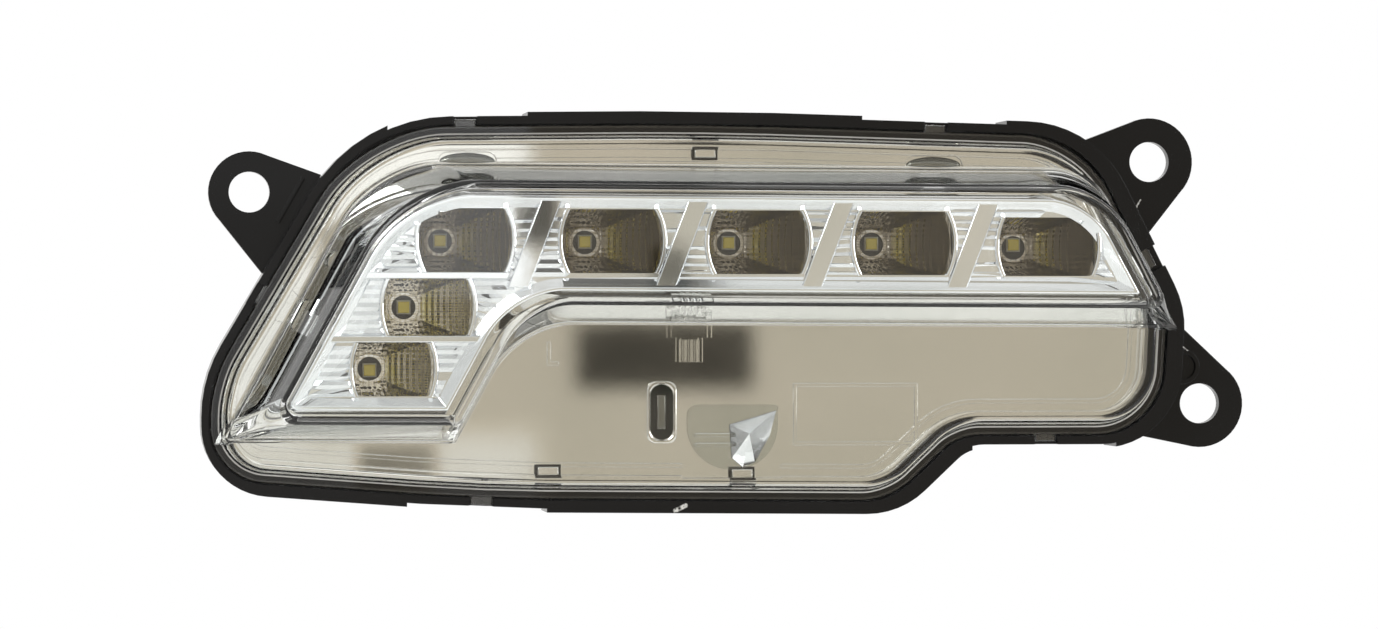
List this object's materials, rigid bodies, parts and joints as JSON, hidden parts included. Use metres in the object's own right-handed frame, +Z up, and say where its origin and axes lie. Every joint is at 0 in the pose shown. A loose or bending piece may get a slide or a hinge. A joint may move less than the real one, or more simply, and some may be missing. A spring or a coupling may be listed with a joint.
{
  "type": "daytime running lamp",
  "caption": "Bumper lamp with a row and a short column of light cells behind a raised clear window, in a black housing with fixing ears.",
  "frame": {"origin": "centre of the left ear's hole, on the front face of the ears", "axes": "+X to the right seen from the front, along the lamp; +Y to the rear, along the ears' holes; +Z up"},
  "size_m": [0.2734, 0.0745, 0.1041],
  "materials": {
    "housing_plastic": "moulded black plastic with a soft gloss",
    "lens_clear": "clear moulded acrylic",
    "sealant": "dark cured sealant",
    "bright_metallised": "plastic with a bright vacuum-metallised coat",
    "silver_metallised": "plastic with a satin metallised coat",
    "prism_clear": "clear moulded acrylic with facets",
    "reflector_metallised": "smoky metallised plastic with small pillows",
    "led_package": "yellow phosphor on a white package",
    "board_black": "black solder mask",
    "thermal_pad": "soft grey-blue pad",
    "screw_steel": "zinc-plated steel",
    "link_film": "amber film with copper tracks",
    "cast_aluminium": "die-cast, lightly blasted",
    "gasket_rubber": "black foam rubber",
    "board_green": "green solder mask",
    "cover_plastic": "fine-textured black plastic",
    "socket_plastic": "dark grey moulded plastic",
    "seal_rubber": "rust-coloured silicone",
    "terminal_brass": "tinned brass",
    "vent_plastic": "dark moulded plastic"
  },
  "bodies": {
    "root": {"housing": "housing_plastic", "outer_lens": "lens_clear", "lens_seal": "sealant", "bezel": "bright_metallised", "base_panel": "silver_metallised", "prism_block": "prism_clear", "reflector_1": "reflector_metallised", "reflector_2": "reflector_metallised", "reflector_3": "reflector_metallised", "reflector_4": "reflector_metallised", "reflector_5": "reflector_metallised", "reflector_6": "reflector_metallised", "reflector_7": "reflector_metallised", "led_1": "led_package", "led_2": "led_package", "led_3": "led_package", "led_4": "led_package", "led_5": "led_package", "led_6": "led_package", "led_7": "led_package", "row_board": "board_black", "column_board": "board_black", "row_pad": "thermal_pad", "column_pad": "thermal_pad", "board_screws": "screw_steel", "board_link": "link_film", "heat_sink": "cast_aluminium", "sink_gasket": "gasket_rubber", "sink_screws": "screw_steel", "driver_board": "board_green", "rear_cover": "cover_plastic", "cover_gasket": "gasket_rubber", "cover_screws": "screw_steel", "connector_socket": "socket_plastic", "socket_seal": "seal_rubber", "terminal_pins": "terminal_brass", "vent_cap": "vent_plastic"}
  },
  "joints": []
}
